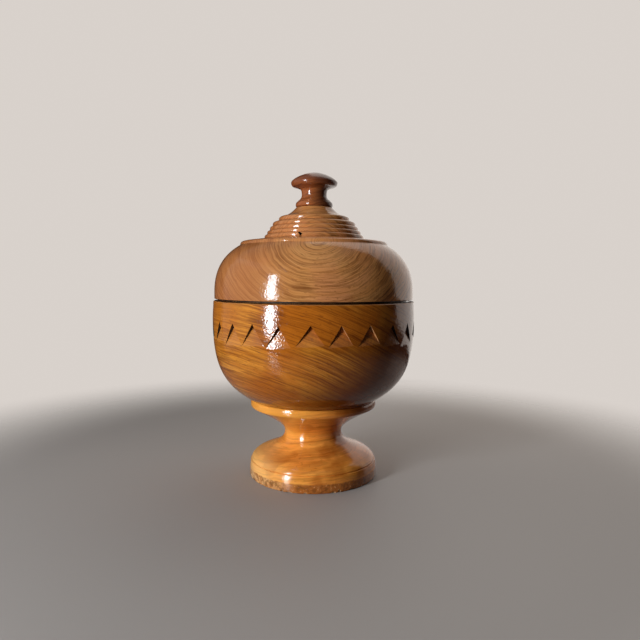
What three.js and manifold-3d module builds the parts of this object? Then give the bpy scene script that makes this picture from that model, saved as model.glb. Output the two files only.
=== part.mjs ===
// Lidded wooden bowl on a turned pedestal foot, with a chip-carved band round the bowl.
// Millimetres, +Z up. The origin is the centre of the foot's underside, and the front is -Y.
// Four turned pieces: the foot is glued into the bowl, the knob into the lid, and the lid lifts off.

import * as THREE from 'three';
import { mergeVertices, toCreasedNormals } from 'three/addons/utils/BufferGeometryUtils.js';
import Module from 'manifold-3d';

const wasm = await Module();
wasm.setup();

// Clearances
const GLUE_GAP = 0.3;            // between glued faces
const SOCKET_CLEARANCE = 0.3;    // radial, tenon in socket
const SEAT_GAP = 0.3;            // lid resting on the rim
const SPIGOT_CLEARANCE = 0.6;    // radial, lid's spigot in the bowl's mouth

// Foot: radii
const BASE_R = 48;
const BEVEL_IN = 0.7;            // the polished bevel leans in by this much
const QUIRK_IN = 0.4;            // fine step where the bevel meets the foot's round shoulder
const SHOULDER_W = 7;            // round shoulder, measured inwards
const WAIST_R = 21.6;
const FLANGE_R = 47.4;
const FLANGE_TAPER = 2.2;        // the flange's lower edge is smaller by this much
const FLANGE_EDGE = 0.6;         // small chamfer on the flange's top edge
const TENON_R = 16;

// Foot: heights, stacked from the table up
const BASE_EDGE = 0.6;           // chamfer at the table
const BAND_H = 7;                // upright band of the base, with its chamfer
const BEVEL_H = 5;
const SHOULDER_H = 6.6;
const SWEEP_H = 14.4;            // hollow sweep from the shoulder up to the waist
const FLARE_H = 19.5;            // from the waist out to the flange's lower edge
const FLANGE_H = 5.5;
const TENON_H = 9;
const TENON_CHAMFER = 1;

// Bowl
const BOWL_BOTTOM_R = 47.6;      // flat underside, glued to the flange
const BOWL_HEEL = 0.7;           // chamfer between the underside and the belly
const BOWL_R = 75;               // widest
const RIM_IN = 0.5;              // the rim is narrower than the belly by this much
const BELLY_H = 60;              // from the underside up to the widest height
const UPPER_H = 13.3;            // from there up to the rim
const RIM_WALL = 8.5;
const RIM_EDGE = 0.6;            // small chamfer on the rim's outer edge
const FLOOR_T = 13.5;
const FLOOR_R = 28;              // flat part of the floor inside

// Chip-carved band: triangles, point up, deepest at the point
const NOTCH_COUNT = 24;
const NOTCH_W = 17;              // along the base line
const NOTCH_H = 12.2;
const NOTCH_DEPTH = 3;
const NOTCH_DROP = 14.1;         // from the rim down to the points

// Lid
const LID_SETBACK = 0.8;         // the lid's side stands inside the rim by this much
const SPIGOT_H = 5;
const SPIGOT_T = 4;
const BEARING_W = 3.5;           // ring next to the spigot on which the lid rests
const SEAM_RELIEF = 1;           // outside the bearing the lid stands this much clear
const LID_EDGE = 0.4;            // small chamfer on the lid's lower edge
const LID_SIDE_H = 5;            // upright side above that edge
const DOME_H = 34.3;             // from the side up to the ledge
const LEDGE_R = 54.8;
const LEDGE_BEAD_H = 2.8;        // rounded edge of the ledge
const LEDGE_BEAD_IN = 3.3;
const LEDGE_RISE = 2.2;          // slope of the ledge up to the crown
const CEILING_DROP = 8;          // the hollow's ceiling lies this much below the ledge
const CEILING_R = 30;            // flat part of the ceiling

// Stepped crown: one rounded ring on the next, from the ledge up
const RING_RADII = [36.9, 34.9, 32.9, 30.8, 26.2];
const RING_HEIGHTS = [3.2, 3, 3.2, 3.8, 3.9];
const RING_GROOVE = 0.4;         // each groove cuts in behind the next ring by this much
const CONE_R = 22;               // hollow-sided cone under the knob
const CONE_TOP_R = 13.4;
const CONE_H = 6.2;

// Knob
const KNOB_TENON_R = 5;
const KNOB_TENON_H = 14;
const KNOB_TENON_CHAMFER = 0.8;
const BEAD_R = 13.8;
const BEAD_H = 3;
const BEAD_FOOT_R = 12.8;
const BEAD_TOP_R = 11.2;
const NECK_R = 9.3;
const NECK_LOW_H = 5.4;          // from the bead up to the narrowest place
const NECK_HIGH_H = 5;           // from there up to the cap
const CAP_ROOT_R = 10.9;         // where the neck meets the cap's underside
const CAP_R = 17.3;
const CAP_LIP_W = 1.9;           // rounded lip, measured inwards
const CAP_UNDER_H = 1.6;         // slope of the underside
const CAP_LIP_H = 3.1;
const CAP_DOME_H = 7.4;

// Shapes of the curved stretches. A handle stands at a share of the way across and up from the
// stretch's start to its end; a curve leaves towards its first handle and arrives from its last.
const BELLY_CURVE = [[0.79, 0.21], [1, 0.47]];
const UPPER_CURVE = [[0, 0.4], [1, 0.7]];
const BOWL_HOLLOW = [[0, 0.55], [0.1, 1]];
const SHOULDER_CURVE = [[0, 0.48], [0.42, 0.7]];
const SWEEP_CURVE = [[0.46, 0.24], [1, 0.42]];
const FLARE_CURVE = [[0, 0.3], [0.42, 0.6]];
const FLANGE_CURVE = [[1, 0.4]];
const DOME_CURVE = [[0, 0.5], [0.38, 0.8]];
const LID_HOLLOW = [[0.9, 0], [1, 0.4]];
const LEDGE_CURVE = [[0, 1]];
const RING_CURVE = [[0, 0.75]];
const CONE_CURVE = [[0.55, 0.3]];
const BEAD_LOW_CURVE = [[1, 0]];
const BEAD_HIGH_CURVE = [[0, 0.75]];
const NECK_LOW_CURVE = [[0.7, 0.15], [1, 0.5]];
const NECK_HIGH_CURVE = [[0, 0.55], [0.2, 0.95]];
const CAP_UNDER_CURVE = [[0.5, 0.75]];
const CAP_LIP_CURVE = [[1, 0.2]];
const CAP_DOME_CURVE = [[0.06, 0.36], [0.58, 1]];

// A ring's upright side runs between these shares of its height.
const RING_SIDE = [0.1, 0.4];
const BEAD_WIDEST = 0.4;         // share of the bead's height

// Facets round each piece; the bowl has some to each notch
const FOOT_FACETS = 48;
const FACETS_PER_NOTCH = 3;
const LID_FACETS = 48;
const KNOB_FACETS = 32;

// Straight pieces along a curved stretch, by the stretch's length
const LONG_STEPS = 9;
const MIDDLE_STEPS = 6;
const SHORT_STEPS = 3;
const TINY_STEPS = 2;

const MERGE_DISTANCE = 1e-4;     // points closer than this are one point
const CREASE_ANGLE = Math.PI / 8;

// Woods: colour and roughness of the lacquered surface
const FOOT_WOOD = { color: 0xc06f26, roughness: 0.3 };
const BOWL_WOOD = { color: 0x9c6128, roughness: 0.28 };
const LID_WOOD = { color: 0xa56e38, roughness: 0.28 };
const KNOB_WOOD = { color: 0x6e3317, roughness: 0.25 };

// Heights and radii that follow
const shoulderZ = BAND_H + BEVEL_H;
const sweepZ = shoulderZ + SHOULDER_H;
const waistZ = sweepZ + SWEEP_H;
const flangeZ = waistZ + FLARE_H;
const footTopZ = flangeZ + FLANGE_H;

const bowlZ = footTopZ + GLUE_GAP;
const bellyZ = bowlZ + BELLY_H;
const rimZ = bellyZ + UPPER_H;
const rimR = BOWL_R - RIM_IN;
const mouthR = rimR - RIM_WALL;

const seatZ = rimZ + SEAT_GAP;
const spigotR = mouthR - SPIGOT_CLEARANCE;
const lidR = rimR - LID_SETBACK;
const lidEdgeZ = seatZ + SEAM_RELIEF;
const domeZ = lidEdgeZ + LID_SIDE_H;
const ledgeZ = domeZ + DOME_H;
const crownZ = ledgeZ + LEDGE_BEAD_H + LEDGE_RISE;
const coneZ = RING_HEIGHTS.reduce((z, height) => z + height, crownZ);
const crownTopZ = coneZ + CONE_H;

const knobZ = crownTopZ + GLUE_GAP;

// A turner's profile: (radius, height) points, added stretch by stretch.
class Profile {
  constructor(r, z) {
    this.points = [new THREE.Vector2(r, z)];
  }

  line(r, z) {
    this.points.push(new THREE.Vector2(r, z));
  }

  curve(r, z, handles, steps) {
    const start = this.points[this.points.length - 1];
    const end = new THREE.Vector2(r, z);
    const held = handles.map(([across, up]) => new THREE.Vector2(
      between(start.x, r, across),
      between(start.y, z, up),
    ));
    const bend = held.length === 1
      ? new THREE.QuadraticBezierCurve(start, held[0], end)
      : new THREE.CubicBezierCurve(start, held[0], held[1], end);
    this.points.push(...bend.getPoints(steps).slice(1));
  }
}

// The value at a share of the way from a to b.
function between(a, b, share) {
  return a + (b - a) * share;
}

// Spins a profile round the Z axis. A profile that climbs on the outside faces outwards.
function turned(profile, facets) {
  const geometry = new THREE.LatheGeometry(profile.points, facets);
  geometry.rotateX(Math.PI / 2);
  return geometry;
}

function toSolid(geometry) {
  const bare = geometry.clone();
  bare.deleteAttribute('normal');
  bare.deleteAttribute('uv');
  const merged = mergeVertices(bare, MERGE_DISTANCE);
  const index = merged.index.array;
  const corners = [];
  for (let i = 0; i < index.length; i += 3) {
    const [a, b, c] = [index[i], index[i + 1], index[i + 2]];
    if (a !== b && b !== c && c !== a) corners.push(a, b, c);
  }
  return new wasm.Manifold(new wasm.Mesh({
    numProp: 3,
    vertProperties: new Float32Array(merged.attributes.position.array),
    triVerts: new Uint32Array(corners),
  }));
}

function toGeometry(solid) {
  const mesh = solid.getMesh();
  const geometry = new THREE.BufferGeometry();
  geometry.setAttribute('position', new THREE.BufferAttribute(mesh.vertProperties, 3));
  geometry.setIndex(new THREE.BufferAttribute(mesh.triVerts, 1));
  return toCreasedNormals(geometry, CREASE_ANGLE);
}

// Foot: flat underside, upright band, bevel, round shoulder, hollow sweep to the waist,
// flare to the flange, and the tenon that is glued into the bowl.
function footGeometry() {
  const bevelR = BASE_R - BEVEL_IN;
  const shoulderR = bevelR - QUIRK_IN;
  const profile = new Profile(0, 0);
  profile.line(BASE_R - BASE_EDGE, 0);
  profile.line(BASE_R, BASE_EDGE);
  profile.line(BASE_R, BAND_H);
  profile.line(bevelR, shoulderZ);
  profile.line(shoulderR, shoulderZ);
  profile.curve(shoulderR - SHOULDER_W, sweepZ, SHOULDER_CURVE, SHORT_STEPS);
  profile.curve(WAIST_R, waistZ, SWEEP_CURVE, MIDDLE_STEPS);
  profile.curve(FLANGE_R - FLANGE_TAPER, flangeZ, FLARE_CURVE, MIDDLE_STEPS);
  profile.curve(FLANGE_R, footTopZ - FLANGE_EDGE, FLANGE_CURVE, SHORT_STEPS);
  profile.line(FLANGE_R - FLANGE_EDGE, footTopZ);
  profile.line(TENON_R, footTopZ);
  profile.line(TENON_R, footTopZ + TENON_H - TENON_CHAMFER);
  profile.line(TENON_R - TENON_CHAMFER, footTopZ + TENON_H);
  profile.line(0, footTopZ + TENON_H);
  return turned(profile, FOOT_FACETS);
}

// Bowl's outside, from the heel of the belly up to the rim.
function addBelly(profile) {
  profile.line(BOWL_BOTTOM_R + BOWL_HEEL, bowlZ + BOWL_HEEL);
  profile.curve(BOWL_R, bellyZ, BELLY_CURVE, LONG_STEPS);
  profile.curve(rimR, rimZ - RIM_EDGE, UPPER_CURVE, TINY_STEPS);
}

// Radius of the bowl's outside at a height.
function bellyRadius(z) {
  const side = new Profile(BOWL_BOTTOM_R, bowlZ);
  addBelly(side);
  const above = side.points.findIndex((point) => point.y >= z);
  const [low, high] = [side.points[above - 1], side.points[above]];
  return between(low.x, high.x, (z - low.y) / (high.y - low.y));
}

// One carved triangle. Two upright walls meet at the point, and a floor rises from the deep
// point to the base line. The cutter is blown up from its deep corner, so it runs out of the wood.
const CUTTER_BLOW_UP = 1.7;

function notchCutter(angle) {
  const pointZ = rimZ - NOTCH_DROP;
  const baseZ = pointZ - NOTCH_H;
  const pointR = bellyRadius(pointZ);
  const baseR = bellyRadius(baseZ);
  const halfAngle = NOTCH_W / baseR / 2;
  const onWood = (r, turn, z) => new THREE.Vector3(r * Math.sin(turn), -r * Math.cos(turn), z);
  const deep = onWood(pointR - NOTCH_DEPTH, angle, pointZ);
  const corners = [onWood(pointR, angle, pointZ)];
  for (let i = 0; i <= FACETS_PER_NOTCH; i++) {
    const across = 2 * i / FACETS_PER_NOTCH - 1;
    corners.push(onWood(baseR, angle + halfAngle * across, baseZ));
  }
  const outer = corners.map((corner) => corner.sub(deep).multiplyScalar(CUTTER_BLOW_UP).add(deep));
  const last = FACETS_PER_NOTCH + 2;
  const triangles = [[0, 2, 1], [0, 1, last]];
  for (let i = 2; i < last; i++) triangles.push([0, i + 1, i], [1, i, i + 1]);
  const geometry = new THREE.BufferGeometry();
  geometry.setFromPoints([deep, ...outer]);
  geometry.setIndex(triangles.flat());
  return toSolid(geometry);
}

// Bowl: turned outside and in, with the foot's socket below, then carved.
function bowlGeometry() {
  const socketR = TENON_R + SOCKET_CLEARANCE;
  const socketZ = footTopZ + TENON_H + GLUE_GAP;
  const floorZ = bowlZ + FLOOR_T;
  const profile = new Profile(0, socketZ);
  profile.line(socketR, socketZ);
  profile.line(socketR, bowlZ);
  profile.line(BOWL_BOTTOM_R, bowlZ);
  addBelly(profile);
  profile.line(rimR - RIM_EDGE, rimZ);
  profile.line(mouthR, rimZ);
  profile.line(mouthR, rimZ - SPIGOT_H);
  profile.curve(FLOOR_R, floorZ, BOWL_HOLLOW, LONG_STEPS);
  profile.line(0, floorZ);
  let solid = toSolid(turned(profile, FACETS_PER_NOTCH * NOTCH_COUNT));
  for (let i = 0; i < NOTCH_COUNT; i++) {
    solid = solid.subtract(notchCutter(2 * Math.PI * i / NOTCH_COUNT));
  }
  return toGeometry(solid);
}

// Lid: hollow, spigot, bearing ring, relieved edge, dome, ledge, stepped crown and cone, and the
// knob's socket.
function lidGeometry() {
  const spigotInR = spigotR - SPIGOT_T;
  const bearingR = spigotR + BEARING_W;
  const ceilingZ = ledgeZ - CEILING_DROP;
  const socketR = KNOB_TENON_R + SOCKET_CLEARANCE;
  const socketZ = crownTopZ - KNOB_TENON_H;
  const profile = new Profile(0, ceilingZ);
  profile.line(CEILING_R, ceilingZ);
  profile.curve(spigotInR, seatZ, LID_HOLLOW, LONG_STEPS);
  profile.line(spigotInR, seatZ - SPIGOT_H);
  profile.line(spigotR, seatZ - SPIGOT_H);
  profile.line(spigotR, seatZ);
  profile.line(bearingR, seatZ);
  profile.line(bearingR, lidEdgeZ);
  profile.line(lidR - LID_EDGE, lidEdgeZ);
  profile.line(lidR, lidEdgeZ + LID_EDGE);
  profile.line(lidR, domeZ);
  profile.curve(LEDGE_R, ledgeZ, DOME_CURVE, LONG_STEPS);
  profile.curve(LEDGE_R - LEDGE_BEAD_IN, ledgeZ + LEDGE_BEAD_H, LEDGE_CURVE, SHORT_STEPS);
  profile.line(RING_RADII[0] - RING_GROOVE, crownZ);
  let ringZ = crownZ;
  RING_RADII.forEach((r, i) => {
    const height = RING_HEIGHTS[i];
    const nextR = i + 1 < RING_RADII.length ? RING_RADII[i + 1] : CONE_R;
    RING_SIDE.forEach((share) => profile.line(r, ringZ + share * height));
    profile.curve(nextR - RING_GROOVE, ringZ + height, RING_CURVE, SHORT_STEPS);
    ringZ += height;
  });
  profile.curve(CONE_TOP_R, crownTopZ, CONE_CURVE, SHORT_STEPS);
  profile.line(socketR, crownTopZ);
  profile.line(socketR, socketZ);
  profile.line(0, socketZ);
  return turned(profile, LID_FACETS);
}

// Knob: tenon, bead, waisted neck and mushroom cap with a hollow underside.
function knobGeometry() {
  const tipZ = crownTopZ - KNOB_TENON_H + GLUE_GAP;
  const beadTopZ = knobZ + BEAD_H;
  const neckZ = beadTopZ + NECK_LOW_H;
  const capRootZ = neckZ + NECK_HIGH_H;
  const lipZ = capRootZ + CAP_UNDER_H;
  const capZ = lipZ + CAP_LIP_H;
  const profile = new Profile(0, tipZ);
  profile.line(KNOB_TENON_R - KNOB_TENON_CHAMFER, tipZ);
  profile.line(KNOB_TENON_R, tipZ + KNOB_TENON_CHAMFER);
  profile.line(KNOB_TENON_R, knobZ);
  profile.line(BEAD_FOOT_R, knobZ);
  profile.curve(BEAD_R, knobZ + BEAD_WIDEST * BEAD_H, BEAD_LOW_CURVE, TINY_STEPS);
  profile.curve(BEAD_TOP_R, beadTopZ, BEAD_HIGH_CURVE, SHORT_STEPS);
  profile.curve(NECK_R, neckZ, NECK_LOW_CURVE, SHORT_STEPS);
  profile.curve(CAP_ROOT_R, capRootZ, NECK_HIGH_CURVE, SHORT_STEPS);
  profile.curve(CAP_R - CAP_LIP_W, lipZ, CAP_UNDER_CURVE, TINY_STEPS);
  profile.curve(CAP_R, capZ, CAP_LIP_CURVE, SHORT_STEPS);
  profile.curve(0, capZ + CAP_DOME_H, CAP_DOME_CURVE, MIDDLE_STEPS);
  return turned(profile, KNOB_FACETS);
}

// A named piece in its wood.
function piece(name, geometry, wood) {
  const mesh = new THREE.Mesh(geometry, new THREE.MeshStandardMaterial({ ...wood, metalness: 0 }));
  mesh.name = name;
  return mesh;
}

const vessel = new THREE.Group();
vessel.add(piece('foot', footGeometry(), FOOT_WOOD));
vessel.add(piece('bowl', bowlGeometry(), BOWL_WOOD));

const cover = new THREE.Group();
cover.add(piece('lid', lidGeometry(), LID_WOOD));
cover.add(piece('knob', knobGeometry(), KNOB_WOOD));

const liddedBowl = new THREE.Group();
liddedBowl.add(vessel, cover);

export default liddedBowl;
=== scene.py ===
import math
import random

import bpy
from mathutils import Matrix, Vector
from mathutils.geometry import interpolate_bezier


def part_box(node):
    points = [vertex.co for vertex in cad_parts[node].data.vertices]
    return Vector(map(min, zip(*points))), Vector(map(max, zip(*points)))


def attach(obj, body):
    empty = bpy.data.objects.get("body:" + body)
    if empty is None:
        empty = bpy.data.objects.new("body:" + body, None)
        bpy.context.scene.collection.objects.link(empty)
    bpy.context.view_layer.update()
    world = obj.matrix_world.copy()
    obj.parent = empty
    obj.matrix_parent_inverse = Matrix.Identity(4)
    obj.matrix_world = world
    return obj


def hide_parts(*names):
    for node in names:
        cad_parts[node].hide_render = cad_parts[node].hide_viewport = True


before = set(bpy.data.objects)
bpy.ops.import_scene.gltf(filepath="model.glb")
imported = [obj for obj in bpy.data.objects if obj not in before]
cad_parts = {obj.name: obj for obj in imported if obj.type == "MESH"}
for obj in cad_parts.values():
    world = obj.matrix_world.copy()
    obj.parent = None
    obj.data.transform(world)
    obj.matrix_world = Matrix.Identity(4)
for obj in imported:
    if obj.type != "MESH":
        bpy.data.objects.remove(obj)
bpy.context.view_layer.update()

# The foot: one block of honey-orange wood, turned to a round base, a narrow waist and a saucer-like
# flange. The tenon on its top is glued into the bowl. It is lacquered all over, and the lowest edge
# of the base is chipped and rubbed bare.
mm = 0.001
_, foot_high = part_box("foot")
base_r = foot_high.x
tenon_top_z = foot_high.z
base_edge = 0.6 * mm
band_h = 7 * mm
bevel_in = 0.7 * mm
quirk_in = 0.4 * mm
crease_depth, crease_low, crease_h = 0.9 * mm, 0.1 * mm, 0.8 * mm
shoulder_z = 12 * mm
shoulder_w = 7 * mm
sweep_z = 18.6 * mm
waist_r, waist_z = 21.6 * mm, 33 * mm
flange_low_r, flange_low_z = 46.9 * mm, 52.5 * mm
flange_r, flange_z = 47.4 * mm, 54.2 * mm
flange_in, flange_edge = 0.5 * mm, 0.5 * mm
foot_top_z = 58 * mm
tenon_r, tenon_chamfer = 16 * mm, 1 * mm
weld = 0.002 * mm
soften_above, smooth_below = math.radians(32), math.radians(40)


class Profile:
    """A turner's template: (radius, height) points, added stretch by stretch."""

    def __init__(self, r, z):
        self.points = [Vector((r, z))]

    def line(self, r, z):
        self.points.append(Vector((r, z)))

    def curve(self, r, z, leave, arrive=None, steps=8):
        """A curved stretch. Its handles stand at shares across and up of the way to its end. With one
        handle, the curve leaves towards it and arrives from it."""
        if arrive is None:
            arrive = [(1 + 2 * share) / 3 for share in leave]
            leave = [2 * share / 3 for share in leave]
        start, end = self.points[-1], Vector((r, z))
        span = end - start
        handles = [start + Vector((span.x * across, span.y * up)) for across, up in (leave, arrive)]
        self.points += [Vector(p[:2]) for p in interpolate_bezier(start, *handles, end, steps + 1)[1:]]


def drawn(name, points):
    """One vertex, drawn out along points in the XZ plane. It stays in edit mode, all selected."""
    bpy.ops.object.select_all(action="DESELECT")
    bpy.ops.mesh.primitive_plane_add(size=mm)
    piece = bpy.context.object
    piece.name = piece.data.name = name
    bpy.ops.object.mode_set(mode="EDIT")
    bpy.ops.mesh.merge(type="CENTER")
    bpy.ops.transform.translate(value=(points[0].x, 0, points[0].y))
    for here, there in zip(points, points[1:]):
        step = (there.x - here.x, 0, there.y - here.y)
        bpy.ops.mesh.extrude_region_move(TRANSFORM_OT_translate={"value": step})
    bpy.ops.mesh.select_all(action="SELECT")
    return piece


def apply_modifier(piece, kind, **settings):
    """Runs one modifier on a piece, which stays the only one selected."""
    bpy.ops.object.select_all(action="DESELECT")
    piece.select_set(True)
    bpy.context.view_layer.objects.active = piece
    modifier = piece.modifiers.new(kind.lower(), kind)
    for name, value in settings.items():
        setattr(modifier, name, value)
    bpy.ops.object.modifier_apply(modifier=modifier.name)


def turned(name, template, facets, soft_edge):
    """A piece off the lathe: its template spun round the Z axis, with its sharp edges softened."""
    piece = drawn(name, template.points)
    bpy.ops.mesh.spin(steps=facets, angle=math.tau, center=(0, 0, 0), axis=(0, 0, 1))
    bpy.ops.mesh.select_all(action="SELECT")
    bpy.ops.mesh.remove_doubles(threshold=weld)
    bpy.ops.mesh.normals_make_consistent(inside=False)
    bpy.ops.object.mode_set(mode="OBJECT")
    sharp = {"limit_method": "ANGLE", "angle_limit": soften_above}
    apply_modifier(piece, "BEVEL", width=soft_edge, segments=2, **sharp)
    bpy.ops.object.shade_smooth_by_angle(angle=smooth_below)
    return piece


template = Profile(0, 0)
template.line(base_r - base_edge, 0)
template.line(base_r, base_edge)
template.line(base_r, band_h)
template.line(base_r - bevel_in, shoulder_z)
template.line(base_r - bevel_in - crease_depth, shoulder_z + crease_low)
template.line(base_r - bevel_in - quirk_in, shoulder_z + crease_h)
template.curve(base_r - bevel_in - quirk_in - shoulder_w, sweep_z, (0.16, 0.44), (0.48, 0.74))
template.curve(waist_r, waist_z, (0.46, 0.24), (1, 0.42), steps=16)
template.curve(flange_low_r, flange_low_z, (0, 0.3), (0.42, 0.6), steps=18)
template.curve(flange_r, flange_z, (0.6, 0.3), (1, 0.6), steps=6)
template.curve(flange_r - flange_in, foot_top_z - flange_edge, (0, 0.4), (0.6, 0.9), steps=6)
template.line(flange_r - flange_in - flange_edge, foot_top_z)
template.line(tenon_r, foot_top_z)
template.line(tenon_r, tenon_top_z - tenon_chamfer)
template.line(tenon_r - tenon_chamfer, tenon_top_z)
template.line(0, tenon_top_z)
foot = turned("turned_foot", template, facets=256, soft_edge=0.2 * mm)


class Wire:
    """A socket in a material. Sums, products and the like of wires and numbers add their Math nodes."""

    def __init__(self, tree, socket=None):
        self.tree, self.socket = tree, socket

    def node(self, kind, settings=None, sockets=None, out=0):
        """Any node: its settings are set first, then the values or wires of its sockets."""
        node = self.tree.nodes.new("ShaderNode" + kind)
        for name, value in (settings or {}).items():
            setattr(node, name, value)
        for name, value in (sockets or {}).items():
            if isinstance(value, Wire):
                self.tree.links.new(value.socket, node.inputs[name])
            else:
                node.inputs[name].default_value = value
        return Wire(self.tree, node.outputs[out] if node.outputs else None)

    def math(self, operation, *others, kind="Math"):
        """A Math node with this wire first."""
        return self.node(kind, {"operation": operation}, dict(enumerate((self, *others))))

    def vector(self, operation, *others):
        return self.math(operation, *others, kind="VectorMath")

    def __add__(self, other):
        return self.math("ADD", other)

    def __sub__(self, other):
        return self.math("SUBTRACT", other)

    def __mul__(self, other):
        return self.math("MULTIPLY", other)

    def __pow__(self, other):
        return self.math("POWER", other)

    def __abs__(self):
        return self.math("ABSOLUTE")

    def __rsub__(self, other):
        return self * -1 + other

    __radd__, __rmul__ = __add__, __mul__

    def step(self, low, high):
        """0 below low, 1 above high and smooth in between."""
        smooth = {"interpolation_type": "SMOOTHSTEP"}
        return self.node("MapRange", smooth, {"Value": self, "From Min": low, "From Max": high})

    def noise(self, scale, detail=2.0, rough=0.5, out=0):
        sockets = {"Vector": self, "Scale": scale, "Detail": detail, "Roughness": rough}
        return self.node("TexNoise", sockets=sockets, out=out)

    def axes(self):
        outputs = self.node("SeparateXYZ", sockets={0: self}).socket.node.outputs
        return [Wire(self.tree, output) for output in outputs]

    def blend(self, under, over):
        """A colour: under where this wire is 0, and over where it is 1."""
        return self.node("Mix", {"data_type": "RGBA"}, {0: self, 6: under, 7: over}, out=2)

    def tinted(self, share, dye):
        """This colour, with a share of another one mixed in."""
        return self.node("Mix", {"data_type": "RGBA"}, {0: share, 6: self, 7: dye}, out=2)


class Timber:
    """Wood cut from a block whose growth rings run round a pith along Y, so that a turned piece shows
    arches in front. Its colour, roughness and relief can be worked on until it is finished. Bold is the
    strength of the figure, wander that of its bends, and marks that of the turning tool's traces."""

    def __init__(
        self, name, pith, ring, pale, warm, rosy, dark, tilt=0, bold=1.0, wander=1.0, marks=0.1
    ):
        self.material = bpy.data.materials.new(name)
        self.material.use_nodes = True
        self.material.node_tree.nodes.clear()
        self.place = Wire(self.material.node_tree).node("TexCoord", out=3)
        turned_block = {"Vector": self.place, "Location": pith, "Rotation": (tilt, 0, 0)}
        block = self.place.node("Mapping", {"vector_type": "TEXTURE"}, turned_block)
        bent = block
        middle_grey = (0.5, 0.5, 0.5)
        for bends_per_m, reach in ((14, 10 * mm), (75, 2 * mm), (260, 0.7 * mm)):
            push = block.noise(bends_per_m, out=1).vector("SUBTRACT", middle_grey)
            bent = push.vector("MULTIPLY_ADD", (reach * wander,) * 3, bent)
        x, y, z = bent.axes()
        # The rings are a little wider than high.
        radius = (x * x * 0.75 + z * z) ** 0.5
        layers = radius.node("CombineXYZ", sockets={0: radius, 1: x * 0.04 + z * 0.03, 2: y * 0.03})
        dashes = radius.node("CombineXYZ", sockets={0: radius, 1: x * 0.3 + z * 0.2, 2: y * 0.2})
        # Broad bands of early and late wood hold thin growth lines, and a few darker ones come and go.
        bands = layers.noise(0.8 / ring, detail=5, rough=0.75)
        growth = layers.noise(2.8 / ring, detail=3, rough=0.6)
        crossing = abs(layers.noise(0.8 / ring) - 0.5)
        lines = (1 - crossing.step(0, 0.05)) * block.noise(38).step(0.42, 0.62)
        blotch = block.noise(22, detail=3)
        self.pores = dashes.noise(1100, detail=1).step(0.64, 0.72)
        fibres = layers.noise(1250, detail=2, rough=0.7)
        colour = blotch.step(0.42, 0.6).blend(rosy, pale)
        colour = colour.tinted((1 - bands.step(0.36, 0.62)) * 0.6, warm)
        away = radius.step(4 * mm, 28 * mm)
        figure = (block.noise(20, detail=1).step(0.36, 0.6) * 0.6 + 0.4) * away
        colour = colour.tinted((1 - growth.step(0.38, 0.5)) * figure * 0.5 * bold, dark)
        colour = colour.tinted(fibres.step(0.47, 0.64) * (away * 0.3 + 0.15) * bold, dark)
        colour = colour.tinted(lines * 0.6 * bold, dark)
        self.colour = colour.tinted(self.pores * 0.4 * bold, dark)
        self.roughness = 0.09 + blotch * 0.05 + self.pores * 0.15
        # The lacquer's skin, the open pores, and the fine rings that the tool left round the axis.
        x, y, z = self.place.axes()
        self.r = (x * x + y * y) ** 0.5
        rings = self.r.node("CombineXYZ", sockets={0: self.r, 1: z}).noise(900, detail=1)
        waves = self.place.noise(150, detail=0)
        skin = self.place.noise(800, detail=0) + waves
        self.relief = skin - self.pores * 0.15 + bands * 0.05 + rings * marks

    def stain(self, share, dye):
        """Mixes a share of another colour into the wood's."""
        self.colour = self.colour.tinted(share, dye)

    def roughen(self, amount):
        self.roughness = self.roughness + amount

    def soil_and_shade(self, share):
        """Lays near-black matt colour over a share of the wood: dirt, and painted shadow in a seam."""
        self.stain(share, (0.01, 0.004, 0.002, 1))
        self.roughen(share * 0.4)

    def finish(self, piece, depth=0.066 * mm):
        """Lays the lacquer over the wood and gives the material to its piece."""
        bumps = {"Strength": 1.0, "Distance": depth, "Height": self.relief}
        normal = self.relief.node("Bump", sockets=bumps)
        lacquer = {"Base Color": self.colour, "Roughness": self.roughness, "IOR": 1.5, "Normal": normal}
        surface = normal.node("BsdfPrincipled", sockets=lacquer)
        surface.node("OutputMaterial", sockets={"Surface": surface})
        piece.data.materials.append(self.material)


foot_block = {"pith": (35 * mm, 0, -280 * mm), "ring": 4.5 * mm}
foot_wood = Timber(
    "foot_wood",
    **foot_block,
    pale=(0.97, 0.39, 0.065, 1),
    warm=(0.78, 0.23, 0.022, 1),
    rosy=(0.90, 0.31, 0.05, 1),
    dark=(0.30, 0.06, 0.005, 1),
    bold=0.6,
    wander=0.7,
)
x, _, z = foot_wood.place.axes()
# Its stain is blotchy. Painted shade darkens it at the right from the waist up. At the left a painted
# sheen makes the base paler, and painted light makes all above it more golden.
blots = foot_wood.place.noise(48, detail=2).step(0.5, 0.62)
foot_wood.stain(blots * 0.5, (0.42, 0.09, 0.006, 1))
across = x + (foot_wood.place.noise(40) - 0.5) * (24 * mm)
above_base = z.step(22 * mm, 34 * mm)
painted_shade_side = across.step(6 * mm, 24 * mm) * z.step(18 * mm, 30 * mm)
foot_wood.stain(painted_shade_side * 0.6, (0.30, 0.055, 0.003, 1))
painted_sheen_side = (1 - across.step(-42 * mm, -12 * mm)) * (1 - above_base)
foot_wood.stain(painted_sheen_side * 0.5, (0.98, 0.58, 0.20, 1))
painted_light_side = (1 - across.step(-26 * mm, 2 * mm)) * above_base
foot_wood.stain(painted_light_side * 0.6, (1, 0.43, 0.058, 1))
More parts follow.
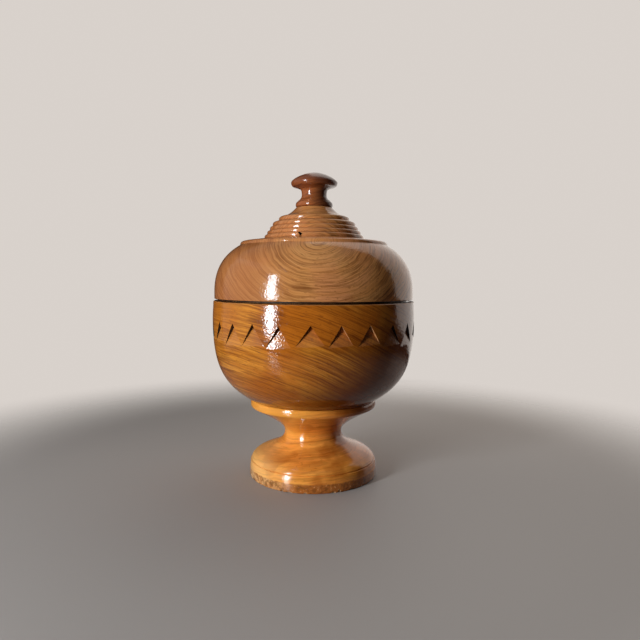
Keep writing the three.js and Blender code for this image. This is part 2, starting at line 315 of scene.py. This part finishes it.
# The lowest band is scratched, with dirt all round. Its worn wood is pale at the left and dark towards
# the right, partly painted light and shade.
grit = foot_wood.place.noise(330, detail=3, rough=0.7)
scuff = foot_wood.place.noise(140, detail=4, rough=0.7)
worn = 1 - (z + (scuff - 0.5) * (2.4 * mm)).step(band_h - 0.9 * mm, band_h + 0.1 * mm)
worn_and_lit_side = 1 - (x + (scuff - 0.5) * (30 * mm)).step(-36 * mm, -8 * mm)
raw = (scuff.step(0.35, 0.6) * worn_and_lit_side).blend((0.36, 0.10, 0.018, 1), (0.72, 0.40, 0.17, 1))
raw = raw.tinted(grit.step(0.48, 0.62) * 0.8, (0.09, 0.024, 0.007, 1))
raw = raw.tinted((1 - grit.step(0.3, 0.42)) * 0.8, (0.80, 0.42, 0.16, 1))
foot_wood.stain(worn * 0.8, raw)
foot_wood.roughen(worn * 0.06)
foot_wood.relief = foot_wood.relief - worn * grit
foot_wood.finish(foot)

# Small chips are broken out of the lowest edge, and show bare wood.
bare_wood = Timber(
    "bare_wood",
    **foot_block,
    pale=(0.66, 0.38, 0.17, 1),
    warm=(0.42, 0.20, 0.08, 1),
    rosy=(0.52, 0.27, 0.11, 1),
    dark=(0.10, 0.036, 0.014, 1),
)
bare_wood.roughen(0.45)


def joined(pieces):
    """Joins pieces into the first one."""
    bpy.ops.object.select_all(action="DESELECT")
    for piece in pieces:
        piece.select_set(True)
    bpy.context.view_layer.objects.active = pieces[0]
    bpy.ops.object.join()
    return pieces[0]


def cut_out(piece, cutter, smooth=smooth_below):
    """Takes a cutter's shape out of a piece. The new faces have the cutter's materials."""
    cut = {"operation": "DIFFERENCE", "solver": "EXACT", "material_mode": "TRANSFER"}
    apply_modifier(piece, "BOOLEAN", object=cutter, **cut)
    bpy.ops.object.shade_smooth_by_angle(angle=smooth)
    bpy.data.objects.remove(cutter)


wear = random.Random(11)
dent_count = 26
dent_depth, dent_rise = 1.2 * mm, 0.1 * mm
half_widths, half_heights = (0.6 * mm, 2.6 * mm), (0.8 * mm, 2.4 * mm)
dents = []
for i in range(dent_count):
    turn = math.tau * (i + wear.uniform(0, 0.8)) / dent_count
    size = Vector((dent_depth, wear.uniform(*half_widths), wear.uniform(*half_heights)))
    bpy.ops.object.select_all(action="DESELECT")
    bpy.ops.mesh.primitive_uv_sphere_add(segments=10, ring_count=6, radius=1, scale=size)
    dent = bpy.context.object
    bpy.ops.object.transform_apply(location=False, rotation=False, scale=True)
    spot = Matrix.Rotation(turn, 4, "Z") @ Matrix.Translation((base_r, 0, dent_rise))
    dent.data.transform(spot @ Matrix.Rotation(wear.uniform(-0.4, 0.4), 4, "X"))
    dents.append(dent)
dents = joined(dents)
bare_wood.finish(dents)
cut_out(foot, dents)
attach(foot, "vessel")
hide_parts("foot")

# The bowl: one block of orange-brown wood, turned and hollowed, and glued onto the foot's tenon. A band
# of triangles is chip-carved round it by hand: two upright cuts that meet at a point, and one sloping
# cut up to them.
bowl_low, bowl_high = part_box("bowl")
bowl_r = bowl_high.x
bowl_z, rim_z = bowl_low.z, bowl_high.z
bottom_r, heel = 47.6 * mm, 0.7 * mm
belly_z = 118.3 * mm
rim_r, rim_edge = 74.5 * mm, 0.6 * mm
mouth_r, mouth_depth = 66 * mm, 5 * mm
floor_r, floor_z = 28 * mm, 71.8 * mm
fit = 0.3 * mm
notch_count = 24
notch_w, notch_h = 17 * mm, 13.8 * mm
notch_depth = 3 * mm
notch_lean = math.radians(1)
point_drop = 13.5 * mm
point_z = rim_z - point_drop

template = Profile(0, tenon_top_z + fit)
template.line(tenon_r + fit, tenon_top_z + fit)
template.line(tenon_r + fit, bowl_z)
template.line(bottom_r, bowl_z)
template.line(bottom_r + heel, bowl_z + heel)
template.curve(bowl_r, belly_z, (0.79, 0.21), (1, 0.47), steps=60)
template.curve(rim_r, rim_z - rim_edge, (0, 0.4), (1, 0.7), steps=12)
template.line(rim_r - rim_edge, rim_z)
template.line(mouth_r, rim_z)
template.line(mouth_r, rim_z - mouth_depth)
template.curve(floor_r, floor_z, (0, 0.55), (0.1, 1), steps=30)
template.line(0, floor_z)
bowl = turned("carved_bowl", template, facets=288, soft_edge=0.2 * mm)

bowl_block = {
    "pith": (-83 * mm, 0, -55 * mm),
    "ring": 3.4 * mm,
    "pale": (0.70, 0.26, 0.027, 1),
    "warm": (0.37, 0.092, 0.005, 1),
    "rosy": (0.54, 0.15, 0.011, 1),
    "dark": (0.12, 0.020, 0.002, 1),
    "wander": 0.5,
}


def from_block(name, **choices):
    """Wood of the bowl's block, with painted shade: a deeper red-brown low at the right, most of all
    near its bottom. High at the left its figure is calmer."""
    wood = Timber(name, **bowl_block, **choices)
    x, _, z = wood.place.axes()
    drift = (wood.place.noise(30) - 0.5) * (30 * mm)
    # Painted shade: a deeper red-brown towards the lower right.
    painted_right_shade = (x - z * 0.8 + drift).step(-82 * mm, -20 * mm)
    wood.stain(painted_right_shade * 0.72, (0.15, 0.021, 0.001, 1))
    leaning_x = x + z * 0.3
    # More painted shade near the bottom, towards the right.
    bottom = (1 - z.step(60 * mm, 96 * mm)) * leaning_x.step(-6 * mm, 40 * mm)
    wood.stain(bottom * 0.6, (0.12, 0.016, 0.001, 1))
    calm = (1 - leaning_x.step(-24 * mm, 16 * mm)) * (z - drift).step(92 * mm, 126 * mm)
    wood.stain(calm * 0.5, (0.54, 0.175, 0.017, 1))
    return wood


bowl_wood = from_block("bowl_wood")
_, _, z = bowl_wood.place.axes()
# Dirt and painted shadow darken the outer part of the rim, in the seam under the lid.
bowl_wood.soil_and_shade(z.step(rim_z - 0.4 * mm, rim_z - 0.1 * mm) * bowl_wood.r.step(70 * mm, 74 * mm) * 0.9)
bowl_wood.finish(bowl)

# Inside, the tool's marks are left rougher, under less lacquer.
inside_wood = from_block("bowl_inside", marks=1.0)
inside_wood.stain(0.25, (0.50, 0.24, 0.08, 1))
inside_wood.roughen(0.25)
inside_wood.finish(bowl)
near = 0.1 * mm
for face in bowl.data.polygons:
    spot, facing = face.center, face.normal
    inwards = facing.xy.dot(spot.xy) < -0.02 * spot.xy.length
    hollow = floor_z - near < spot.z < rim_z - near
    face.material_index = int(hollow and (inwards or facing.z > 0.5))

outside = [p for p in template.points if p.x > bottom_r]


def outside_r(z):
    """The bowl's outer radius at a height."""
    above = next(i for i, point in enumerate(outside) if point.y > z)
    low, high = outside[above - 1], outside[above]
    return low.x + (high.x - low.x) * (z - low.y) / (high.y - low.y)


def around(r, angle, z):
    return Vector((r * math.cos(angle), r * math.sin(angle), z))


def chip():
    """The wood that leaves one triangle: a wedge spun round the axis, trimmed by two upright cuts. The
    wedge reaches past both ends of the sloping face."""
    sweep = math.radians(20)
    past_point, past_base = 0.15, 1.6
    base_z = point_z - notch_h
    deepest = Vector((outside_r(point_z) - notch_depth, point_z))
    slope = Vector((outside_r(base_z), base_z)) - deepest
    inner, outer = deepest - slope * past_point, deepest + slope * past_base
    corners = [inner, outer, Vector((outer.x, inner.y)), inner]
    wedge = drawn("chip", corners)
    bpy.ops.mesh.remove_doubles(threshold=weld)
    bpy.ops.mesh.edge_face_add()
    bpy.ops.mesh.spin(steps=20, angle=sweep, center=(0, 0, 0), axis=(0, 0, -1))
    bpy.ops.mesh.select_all(action="SELECT")
    middle = around(bowl_r, sweep / 2, point_z)
    bpy.ops.transform.rotate(value=notch_lean, orient_axis="Z", center_override=middle)
    half = notch_w / outside_r(base_z) / 2
    point = around(outside_r(point_z), sweep / 2, point_z)
    for side in (-1, 1):
        corner = around(outside_r(base_z), sweep / 2 + side * half, base_z)
        inwards = around(1, sweep / 2 + side * half / 2, 0)
        away = inwards.cross(corner - point) * side
        bpy.ops.mesh.select_all(action="SELECT")
        trim = {"use_fill": True, "clear_outer": True, "threshold": 0.001 * mm}
        bpy.ops.mesh.bisect(plane_co=point, plane_no=away, **trim)
    bpy.ops.mesh.select_all(action="SELECT")
    bpy.ops.mesh.normals_make_consistent(inside=False)
    bpy.ops.object.mode_set(mode="OBJECT")
    wedge.data.transform(Matrix.Rotation(-sweep / 2, 4, "Z"))
    return wedge


first = chip()
carved_wood = from_block("carved_wood")
carved_wood.stain(0.18, (0.62, 0.27, 0.11, 1))
carved_wood.roughen(0.03)
carved_wood.finish(first, depth=0.12 * mm)
# Near-black painted shade, with some stain, for the cuts' walls and the wormhole.
stain_and_shade_wood = from_block("stain_and_shade_wood")
stain_and_shade_wood.stain(0.97, (0.008, 0.003, 0.001, 1))
stain_and_shade_wood.roughen(0.3)
stain_and_shade_wood.finish(first)
# Pale fresh-cut wood with a painted highlight, for the right walls of the cuts in front.
cut_and_lit_wood = from_block("cut_and_lit_wood")
cut_and_lit_wood.stain(0.4, (0.85, 0.50, 0.26, 1))
cut_and_lit_wood.finish(first)
carved, stain_and_shade, cut_and_lit = range(3)
wall_facing = 0.45

# The hand slipped a little at each cut. Turns are in degrees, and those in front are the photo's.
knife = random.Random(5)
turn_slips, widths = (-0.9, 0.9), (0.96, 1.06)
depth_slips, height_slips = (-0.3 * mm, 0.2 * mm), (-0.5 * mm, 0.5 * mm)
front, front_width = -90, 1.15
front_slips = {-4: 1.0, -3: -0.2, -2: -1.2, -1: -1.7, 0: -0.8, 1: -0.7, 2: -0.2, 3: 0.1, 4: 0.5}
chips = []
for i in range(notch_count):
    turn = i if i <= notch_count / 2 else i - notch_count
    slip = front_slips.get(turn, knife.uniform(*turn_slips))
    cut = bpy.data.objects.new(f"chip_{i}", first.data.copy())
    bpy.context.scene.collection.objects.link(cut)
    shift = Matrix.Translation((knife.uniform(*depth_slips), 0, knife.uniform(*height_slips)))
    width = front_width if turn == 0 else knife.uniform(*widths)
    cut.data.transform(shift @ Matrix.Scale(width, 4, (0, 1, 0)))
    # Painted shadow, with some stain, blackens the left wall of each cut, and away from the front the
    # right one too. In front, the right walls, which face the lamp, are pale cut wood with a painted
    # highlight.
    right_wall = cut_and_lit if -4 <= turn <= 2 else stain_and_shade
    for side in cut.data.polygons:
        wall = stain_and_shade if side.normal.y < 0 else right_wall
        side.material_index = wall if abs(side.normal.y) > wall_facing else carved
    direction = math.radians(front + turn * 360 / notch_count + slip)
    cut.data.transform(Matrix.Rotation(direction, 4, "Z"))
    chips.append(cut)
bpy.data.objects.remove(first)
cut_out(bowl, joined(chips), smooth=math.radians(30))
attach(bowl, "vessel")
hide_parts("bowl")

# The lid: one block of golden-brown wood, turned to a dome with a ledge, five stepped rings and a small
# cone on top, and hollowed underneath. It lies loose on the rim, and its spigot ring drops into the
# bowl's mouth, so that it can't slide off.
lid_low, lid_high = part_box("lid")
lid_r = lid_high.x
crown_top_z = lid_high.z
spigot_z = lid_low.z
seat_z = spigot_z + mouth_depth
spigot_r, spigot_t = 65.4 * mm, 4 * mm
bearing_w, seam_relief = 3.5 * mm, 1 * mm
lid_edge = 0.4 * mm
dome_z = 137.9 * mm
ledge_r, ledge_z = 54.8 * mm, 172.2 * mm
bead_h, bead_in, ledge_rise = 2.8 * mm, 3.3 * mm, 2.2 * mm
ceiling_r, ceiling_z = 30 * mm, 164.2 * mm
ring_radii = [36.9 * mm, 34.9 * mm, 32.9 * mm, 30.8 * mm, 26.2 * mm]
ring_heights = [3.2 * mm, 3 * mm, 3.2 * mm, 3.8 * mm, 3.9 * mm]
groove = 0.4 * mm
edge_low, edge_high = 0.1, 0.4
cone_r, cone_top_r = 22 * mm, 13.4 * mm
knob_tenon_r, knob_tenon_h = 5 * mm, 14 * mm

template = Profile(0, ceiling_z)
template.line(ceiling_r, ceiling_z)
template.curve(spigot_r - spigot_t, seat_z, (0.9, 0), (1, 0.4), steps=20)
template.line(spigot_r - spigot_t, spigot_z)
template.line(spigot_r, spigot_z)
template.line(spigot_r, seat_z)
template.line(spigot_r + bearing_w, seat_z)
template.line(spigot_r + bearing_w, seat_z + seam_relief)
template.line(lid_r - lid_edge, seat_z + seam_relief)
template.line(lid_r, seat_z + seam_relief + lid_edge)
template.line(lid_r, dome_z)
template.curve(ledge_r, ledge_z, (0, 0.5), (0.38, 0.8), steps=36)
template.curve(ledge_r - bead_in, ledge_z + bead_h, (0, 1), steps=7)
ring_z = ledge_z + bead_h + ledge_rise
template.line(ring_radii[0] - groove, ring_z)
# Each ring has an upright edge between two shares of its height, and a cove up to the next ring.
step_z = ring_z
for r, height, next_r in zip(ring_radii, ring_heights, ring_radii[1:] + [cone_r]):
    template.line(r, step_z + edge_low * height)
    template.line(r, step_z + edge_high * height)
    template.curve(next_r - groove, step_z + height, (0, 0.75), steps=7)
    step_z += height
template.curve(cone_top_r, crown_top_z, (0.55, 0.3), steps=8)
template.line(knob_tenon_r + fit, crown_top_z)
template.line(knob_tenon_r + fit, crown_top_z - knob_tenon_h)
template.line(0, crown_top_z - knob_tenon_h)
lid = turned("domed_lid", template, facets=256, soft_edge=0.15 * mm)

lid_block = {"pith": (4 * mm, -54 * mm, 172 * mm), "tilt": math.radians(-22), "ring": 3.2 * mm}
lid_wood = Timber(
    "lid_wood",
    **lid_block,
    pale=(0.75, 0.34, 0.105, 1),
    warm=(0.60, 0.225, 0.055, 1),
    rosy=(0.71, 0.285, 0.105, 1),
    dark=(0.19, 0.055, 0.011, 1),
    wander=0.9,
)
x, _, z = lid_wood.place.axes()
# Away from its golden heart, towards the left, the block is a duller rose-brown.
duller = (x * -1 + (lid_wood.place.noise(30) - 0.5) * (30 * mm)).step(0, 45 * mm)
lid_wood.stain(duller * 0.7, (0.34, 0.105, 0.03, 1))
# Dirt and painted shadow darken the seam, outside the bearing ring.
seam_z, bearing_r = seat_z + seam_relief, spigot_r + bearing_w
in_seam = 1 - z.step(seam_z + 0.1 * mm, seam_z + 0.3 * mm)
lid_wood.soil_and_shade(in_seam * lid_wood.r.step(bearing_r - 1 * mm, bearing_r))
lid_wood.finish(lid)

# Its underside and its hollow are duller and rougher, as the tool left them.
lid_inside = Timber(
    "lid_inside",
    **lid_block,
    pale=(0.58, 0.30, 0.11, 1),
    warm=(0.44, 0.19, 0.06, 1),
    rosy=(0.54, 0.25, 0.10, 1),
    dark=(0.21, 0.075, 0.02, 1),
    marks=1.0,
)
lid_inside.roughen(0.25)
lid_inside.finish(lid)
for face in lid.data.polygons:
    spot = face.center
    hollow = spot.xy.length < spigot_r - spigot_t + near and spot.z < ceiling_z + near
    face.material_index = int(hollow or spot.z < seat_z + near)

# A wormhole opens in the lowest ring, a little left of the front.
hole_turn, hole_lean = math.radians(-14.8), math.radians(-48)
hole_long, hole_thick, hole_thin = 3 * mm, 1.15 * mm, 0.4 * mm
hole_rise, hole_stretch = 1.7 * mm, 3.5
bpy.ops.object.select_all(action="DESELECT")
tapered = {"radius1": hole_thick, "radius2": hole_thin, "depth": hole_long}
bpy.ops.mesh.primitive_cone_add(vertices=20, rotation=(0, hole_lean, 0), **tapered)
hole = bpy.context.object
bpy.ops.object.transform_apply(location=False, rotation=True, scale=False)
# Its inside is painted near-black shade.
hole.data.materials.append(stain_and_shade_wood.material)
deep = Matrix.Scale(hole_stretch, 4, (0, 1, 0))
spot = Matrix.Translation((0, -ring_radii[0], ring_z + hole_rise))
hole.data.transform(Matrix.Rotation(hole_turn, 4, "Z") @ spot @ deep)
cut_out(lid, hole)
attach(lid, "cover")
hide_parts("lid")

# The knob: a mushroom-shaped finial of dark red-brown wood, turned with a bead at its foot and a
# tenon below, which is glued into the lid's cone.
knob_low, knob_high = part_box("knob")
knob_z = crown_top_z + fit
knob_chamfer = 0.8 * mm
knob_bead_r, knob_bead_h = 13.8 * mm, 4 * mm
bead_foot_r, bead_top_r = 12.8 * mm, 12.4 * mm
quirk_w, quirk_low, quirk_high = 0.35 * mm, 0.25 * mm, 0.6 * mm
neck_r, neck_z = 9.3 * mm, knob_z + 8.9 * mm
cap_root_r, cap_root_z = 10.9 * mm, knob_z + 13.4 * mm
cap_r, cap_lip_w = knob_high.x, 1.9 * mm
lip_z, cap_z = knob_z + 15 * mm, knob_z + 18.1 * mm

template = Profile(0, knob_low.z)
template.line(knob_tenon_r - knob_chamfer, knob_low.z)
template.line(knob_tenon_r, knob_low.z + knob_chamfer)
template.line(knob_tenon_r, knob_z)
template.line(bead_foot_r, knob_z)
template.curve(knob_bead_r, knob_z + 0.4 * knob_bead_h, (1, 0), steps=5)
template.curve(bead_top_r, knob_z + knob_bead_h, (0.1, 0.85), steps=7)
template.line(bead_top_r - quirk_w, knob_z + knob_bead_h + quirk_low)
template.line(bead_top_r - quirk_w, knob_z + knob_bead_h + quirk_high)
template.curve(neck_r, neck_z, (1, 0.44), steps=14)
template.curve(cap_root_r, cap_root_z, (0, 0.55), (0.2, 0.95), steps=9)
template.curve(cap_r - cap_lip_w, lip_z, (0.5, 0.75), steps=6)
template.curve(cap_r, cap_z, (1, 0.2), steps=8)
template.curve(0, knob_high.z, (0.06, 0.36), (0.58, 1), steps=24)
knob = turned("finial_knob", template, facets=128, soft_edge=0.12 * mm)

knob_wood = Timber(
    "knob_wood",
    pith=(40 * mm, 0, 120 * mm),
    ring=3 * mm,
    pale=(0.48, 0.155, 0.045, 1),
    warm=(0.30, 0.078, 0.02, 1),
    rosy=(0.38, 0.105, 0.03, 1),
    dark=(0.07, 0.014, 0.006, 1),
    bold=0.5,
)
x, _, z = knob_wood.place.axes()
# Painted shade makes its right nearly black, and handling has darkened and dulled the cap.
painted_right_shade = (x + (knob_wood.place.noise(90) - 0.5) * (8 * mm)).step(-4 * mm, 7 * mm)
knob_wood.stain(painted_right_shade * 0.7, (0.05, 0.011, 0.006, 1))
handled = z.step(cap_root_z, cap_z)
knob_wood.stain(handled * 0.45, (0.16, 0.04, 0.018, 1))
knob_wood.roughen(handled * 0.05 + 0.03)
knob_wood.finish(knob)
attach(knob, "cover")
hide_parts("knob")

# The studio: a pale round floor that fades out into a pale backdrop, a tall window-like lamp at the
# left front, and dim panels for the wall at the left, the wall behind at the right, and the ceiling.
# The camera stands a little above the middle of the object.
floor_r = 3.0
fade_start, fade_end = 0.22, 0.45
backdrop = (0.69, 0.64, 0.60, 1)
bpy.ops.object.select_all(action="DESELECT")
bpy.ops.mesh.primitive_circle_add(vertices=96, radius=floor_r, fill_type="NGON")
floor = bpy.context.object
floor.name = "studio_floor"
paint = bpy.data.materials.new("floor_paint")
paint.use_nodes = True
paint.node_tree.nodes.clear()
ground = Wire(paint.node_tree).node("TexCoord", out=3)
camera_ray, glossy_ray, transmission_ray = (ground.node("LightPath", out=kind) for kind in (0, 3, 6))
# It looks pale, but throws little light up at the object.
seen = camera_ray + glossy_ray + transmission_ray
tone = seen.blend((0.12, 0.08, 0.055, 1), (0.43, 0.395, 0.37, 1))
coat = {"Base Color": tone, "Roughness": camera_ray * 0.4 + 0.22, "IOR": 1.5}
surface = ground.node("BsdfPrincipled", sockets=coat)
reach = ground.node("VectorMath", {"operation": "LENGTH"}, {0: ground}, out=1)
far = reach.step(fade_start, fade_end)
clear = ground.node("BsdfTransparent")
surface = ground.node("MixShader", sockets={0: far, 1: surface, 2: clear})
surface.node("OutputMaterial", sockets={"Surface": surface})
floor.data.materials.append(paint)

world = bpy.data.worlds.new("studio")
bpy.context.scene.world = world
world.use_nodes = True
world.node_tree.nodes.clear()
rays = Wire(world.node_tree)
straight = rays.node("LightPath", out=0)
# The camera sees the backdrop in full, but the room gets little light from it.
room_level = 0.035
level = straight * (1 - room_level) + room_level
sky = straight.node("Background", sockets={"Color": backdrop, "Strength": level})
sky.node("OutputWorld", sockets={"Surface": sky})


def panel(name, place, aim, width, height, radiance, tint):
    """A flat lamp, turned to face a point, that the camera doesn't see."""
    data = bpy.data.lights.new(name, "AREA")
    data.shape = "RECTANGLE"
    data.size, data.size_y = width, height
    data.energy = radiance * math.pi * width * height
    data.color = tint
    lamp = bpy.data.objects.new(name, data)
    lamp.location = place
    lamp.rotation_euler = (Vector(aim) - Vector(place)).to_track_quat("-Z", "Y").to_euler()
    lamp.visible_camera = False
    bpy.context.scene.collection.objects.link(lamp)


window_azimuth, window_distance, window_w = math.radians(-44.5), 0.8, 0.11
window_side = Vector((math.sin(window_azimuth), -math.cos(window_azimuth), 0)) * window_distance
window_foot, window_bar, window_head = 0.01, 0.2, 0.51
daylight, warm_white, warmer_white = (0.88, 0.94, 1), (1, 0.97, 0.94), (1, 0.93, 0.87)
# The window's lower pane is the brighter one.
panes = {"window_low": (window_foot, window_bar, 47), "window_high": (window_bar, window_head, 31)}
for name, (low, high, radiance) in panes.items():
    middle = Vector((0, 0, (low + high) / 2))
    panel(name, window_side + middle, middle, window_w, high - low, radiance, daylight)
left, behind, above = (-1.2, -0.2, 0.4), (0.85, 0.38, 0.6), (-0.5, 0, 2)
panel("left_wall", left, (0, 0, 0.1), width=2, height=1.4, radiance=0.34, tint=warm_white)
panel("back_wall", behind, (0.85, 0, 0.6), width=1.8, height=1.2, radiance=0.95, tint=warmer_white)
panel("ceiling", above, (0, 0, 0), width=3.4, height=3.4, radiance=0.2, tint=warm_white)

eye = Vector((4.8 * mm, -422.7 * mm, 147.1 * mm))
look_down, roll = math.radians(4.11), math.radians(0.33)
camera = bpy.data.objects.new("camera", bpy.data.cameras.new("camera"))
camera.data.sensor_width = 36
camera.data.lens = 31.5
camera.data.clip_start = 0.01
tilted = Matrix.Rotation(math.pi / 2 - look_down, 4, "X") @ Matrix.Rotation(roll, 4, "Z")
camera.matrix_world = Matrix.Translation(eye) @ tilted
bpy.context.scene.collection.objects.link(camera)
bpy.context.scene.camera = camera
bpy.context.scene.view_settings.view_transform = "Standard"
